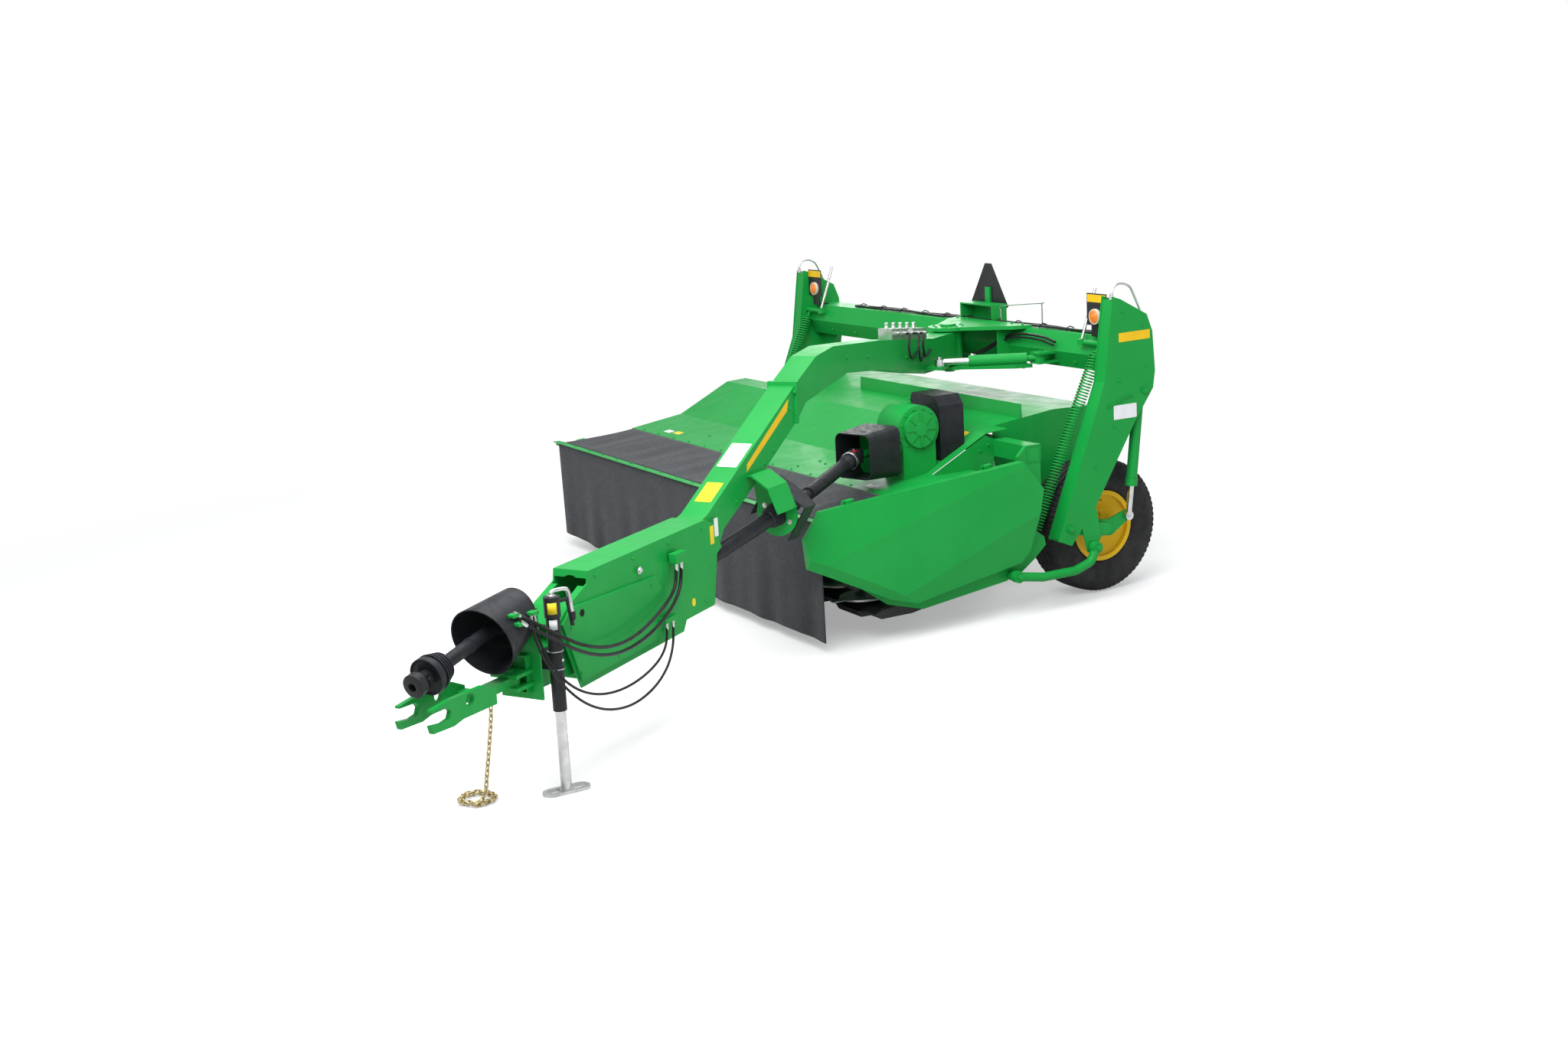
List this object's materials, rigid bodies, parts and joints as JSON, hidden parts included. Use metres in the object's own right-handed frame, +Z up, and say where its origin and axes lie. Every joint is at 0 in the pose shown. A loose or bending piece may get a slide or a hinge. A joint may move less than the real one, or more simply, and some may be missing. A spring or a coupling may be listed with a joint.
{
  "type": "disc mower conditioner",
  "caption": "Towed side-pull disc mower conditioner with a swinging gooseneck tongue, arched trail frame, oval cutting discs and a tined conditioning rotor.",
  "frame": {"origin": "ground level under the middle of the whole machine's bounding box", "axes": "+X to the machine's left, +Y to its rear, +Z up; it travels along -Y"},
  "size_m": [5.1202, 5.1366, 1.85],
  "materials": {
    "green_paint": "gloss",
    "yellow_paint": "gloss",
    "black_paint": "satin",
    "tyre_rubber": "matte",
    "black_rubber": "matte",
    "black_plastic": "matte",
    "canvas_black": "matte",
    "steel": "satin",
    "chrome_rod": "polished",
    "zinc": "satin",
    "amber_lens": "gloss",
    "red_lens": "gloss",
    "sign_face": "satin"
  },
  "bodies": {
    "frame": {"adjusting_rods": "zinc", "amber_lamps": "amber_lens", "canvas": "canvas_black", "cutterbar": "black_paint", "float_springs": "green_paint", "frame_legs": "green_paint", "front_bar": "green_paint", "gearbox": "green_paint", "gearbox_guard": "black_rubber", "header_frame": "green_paint", "hood": "green_paint", "lamp_plates": "black_paint", "lower_links": "green_paint", "rear_guard": "black_plastic", "rear_hood": "green_paint", "rear_sign": "sign_face", "red_lamps": "red_lens", "sign_bracket": "green_paint", "spring_anchors": "green_paint", "spring_feet": "green_paint", "trail_frame": "green_paint"},
    "tongue": {"tongue_beam": "green_paint", "tongue_box": "green_paint", "first_shaft": "black_plastic", "joint_hood": "black_plastic", "valve_block": "zinc", "jack_tube": "zinc", "bell_guard": "black_plastic", "pto_shaft": "black_plastic"},
    "wheel_left": {"rim_left": "yellow_paint", "tyre_left": "tyre_rubber"},
    "wheel_right": {"rim_right": "yellow_paint", "tyre_right": "tyre_rubber"},
    "jack_leg": {"jack_leg": "zinc"},
    "hitch_fork": {"hitch_fork": "green_paint"},
    "drive_outer": {"drive_outer": "black_plastic"},
    "drive_inner": {"drive_inner": "black_plastic"},
    "swing_barrel": {"swing_barrel": "green_paint"},
    "swing_rod": {"swing_rod": "chrome_rod"},
    "rotor": {"rotor": "black_paint"},
    "end_shield_left": {"end_shield_left": "green_paint"},
    "end_shield_right": {"end_shield_right": "green_paint"},
    "disc_1": {"disc_1": "steel"},
    "disc_2": {"disc_2": "steel"},
    "disc_3": {"disc_3": "steel"},
    "disc_4": {"disc_4": "steel"},
    "disc_5": {"disc_5": "steel"},
    "disc_6": {"disc_6": "steel"},
    "disc_7": {"disc_7": "steel"},
    "disc_8": {"disc_8": "steel"},
    "lift_arm_left": {"lift_arm_left": "green_paint"},
    "lift_arm_right": {"lift_arm_right": "green_paint"},
    "lift_barrel_left": {"lift_barrel_left": "green_paint"},
    "lift_barrel_right": {"lift_barrel_right": "green_paint"},
    "lift_rod_left": {"lift_rod_left": "chrome_rod"},
    "lift_rod_right": {"lift_rod_right": "chrome_rod"}
  },
  "joints": [
    {"name": "tongue_swing", "type": "hinge", "parent": "frame", "child": "tongue", "pos_m": [-0.20208, 1.9248, 1.38], "axis": [0, 0, 1], "range_deg": [-28, 0]},
    {"name": "drive_turn", "type": "hinge", "parent": "frame", "child": "drive_outer", "pos_m": [0.64792, 0.7048, 0.965], "axis": [0, 0, 1], "range_deg": [-64.27, 0.5]},
    {"name": "drive_slide", "type": "slide", "parent": "drive_outer", "child": "drive_inner", "axis": [0.5433, -0.8257, -0.1518], "range_m": [-0.005, 0.4077]},
    {"name": "swing_cylinder_turn", "type": "hinge", "parent": "frame", "child": "swing_barrel", "pos_m": [0.47792, 2.1148, 1.35], "axis": [0, 0, 1], "range_deg": [-7.33, 0.5]},
    {"name": "swing_cylinder_slide", "type": "slide", "parent": "swing_barrel", "child": "swing_rod", "axis": [-0.5143, -0.8576, 0], "range_m": [-0.005, 0.2285]},
    {"name": "lift_arm_left_turn", "type": "hinge", "parent": "frame", "child": "lift_arm_left", "pos_m": [1.04792, 1.8348, 0.445], "axis": [1, 0, 0], "range_deg": [-30, 4]},
    {"name": "wheel_left_spin", "type": "hinge", "parent": "lift_arm_left", "child": "wheel_left", "pos_m": [0.86292, 2.1748, 0.3935], "axis": [1, 0, 0], "continuous": true},
    {"name": "lift_cylinder_left_turn", "type": "hinge", "parent": "frame", "child": "lift_barrel_left", "pos_m": [1.04792, 2.3898, 1.18], "axis": [1, 0, 0], "range_deg": [-2.31, 0.74]},
    {"name": "lift_cylinder_left_slide", "type": "slide", "parent": "lift_barrel_left", "child": "lift_rod_left", "axis": [0, -0.1224, -0.9925], "range_m": [-0.0339, 0.2412]},
    {"name": "lift_arm_right_turn", "type": "hinge", "parent": "frame", "child": "lift_arm_right", "pos_m": [-2.45208, 1.8348, 0.445], "axis": [1, 0, 0], "range_deg": [-30, 4]},
    {"name": "wheel_right_spin", "type": "hinge", "parent": "lift_arm_right", "child": "wheel_right", "pos_m": [-2.26708, 2.1748, 0.3935], "axis": [1, 0, 0], "continuous": true},
    {"name": "lift_cylinder_right_turn", "type": "hinge", "parent": "frame", "child": "lift_barrel_right", "pos_m": [-2.45208, 2.3898, 1.18], "axis": [1, 0, 0], "range_deg": [-2.31, 0.74]},
    {"name": "lift_cylinder_right_slide", "type": "slide", "parent": "lift_barrel_right", "child": "lift_rod_right", "axis": [0, -0.1224, -0.9925], "range_m": [-0.0339, 0.2412]},
    {"name": "disc_1_spin", "type": "hinge", "parent": "frame", "child": "disc_1", "pos_m": [-2.18958, 0.6748, 0.2], "axis": [0, 0, 1], "continuous": true},
    {"name": "disc_2_spin", "type": "hinge", "parent": "frame", "child": "disc_2", "pos_m": [-1.76458, 0.6748, 0.2], "axis": [0, 0, 1], "continuous": true},
    {"name": "disc_3_spin", "type": "hinge", "parent": "frame", "child": "disc_3", "pos_m": [-1.33958, 0.6748, 0.2], "axis": [0, 0, 1], "continuous": true},
    {"name": "disc_4_spin", "type": "hinge", "parent": "frame", "child": "disc_4", "pos_m": [-0.91458, 0.6748, 0.2], "axis": [0, 0, 1], "continuous": true},
    {"name": "disc_5_spin", "type": "hinge", "parent": "frame", "child": "disc_5", "pos_m": [-0.48958, 0.6748, 0.2], "axis": [0, 0, 1], "continuous": true},
    {"name": "disc_6_spin", "type": "hinge", "parent": "frame", "child": "disc_6", "pos_m": [-0.06458, 0.6748, 0.2], "axis": [0, 0, 1], "continuous": true},
    {"name": "disc_7_spin", "type": "hinge", "parent": "frame", "child": "disc_7", "pos_m": [0.36042, 0.6748, 0.2], "axis": [0, 0, 1], "continuous": true},
    {"name": "disc_8_spin", "type": "hinge", "parent": "frame", "child": "disc_8", "pos_m": [0.78542, 0.6748, 0.2], "axis": [0, 0, 1], "continuous": true},
    {"name": "rotor_spin", "type": "hinge", "parent": "frame", "child": "rotor", "pos_m": [-0.70208, 1.1748, 0.5], "axis": [1, 0, 0], "continuous": true},
    {"name": "shield_left_lift", "type": "hinge", "parent": "frame", "child": "end_shield_left", "pos_m": [1.08792, 0.8248, 0.85517], "axis": [0, -0.9974, -0.0727], "range_deg": [0, 80]},
    {"name": "shield_right_lift", "type": "hinge", "parent": "frame", "child": "end_shield_right", "pos_m": [-2.49208, 0.8248, 0.75017], "axis": [0, 0.9974, 0.0727], "range_deg": [0, 80]},
    {"name": "jack_slide", "type": "slide", "parent": "tongue", "child": "jack_leg", "axis": [0, 0, 1], "range_m": [0, 0.25]},
    {"name": "hitch_turn", "type": "hinge", "parent": "tongue", "child": "hitch_fork", "pos_m": [2.15332, -1.97978, 0.541], "axis": [0, 0, 1], "range_deg": [-25, 25]}
  ],
  "couplings": [
    {"joint": "drive_turn", "follows": "tongue_swing", "ratio": 2.2774},
    {"joint": "drive_slide", "follows": "tongue_swing", "m_per_rad": -0.82408},
    {"joint": "swing_cylinder_turn", "follows": "tongue_swing", "ratio": 0.24408},
    {"joint": "swing_cylinder_slide", "follows": "tongue_swing", "m_per_rad": -0.45734},
    {"joint": "lift_cylinder_left_turn", "follows": "lift_arm_left_turn", "ratio": 0.06039},
    {"joint": "lift_cylinder_left_slide", "follows": "lift_arm_left_turn", "m_per_rad": -0.45688},
    {"joint": "lift_cylinder_right_turn", "follows": "lift_arm_right_turn", "ratio": 0.06039},
    {"joint": "lift_cylinder_right_slide", "follows": "lift_arm_right_turn", "m_per_rad": -0.45688},
    {"joint": "disc_2_spin", "follows": "disc_1_spin", "ratio": -1},
    {"joint": "disc_3_spin", "follows": "disc_1_spin", "ratio": 1},
    {"joint": "disc_4_spin", "follows": "disc_1_spin", "ratio": -1},
    {"joint": "disc_5_spin", "follows": "disc_1_spin", "ratio": 1},
    {"joint": "disc_6_spin", "follows": "disc_1_spin", "ratio": -1},
    {"joint": "disc_7_spin", "follows": "disc_1_spin", "ratio": 1},
    {"joint": "disc_8_spin", "follows": "disc_1_spin", "ratio": -1}
  ]
}
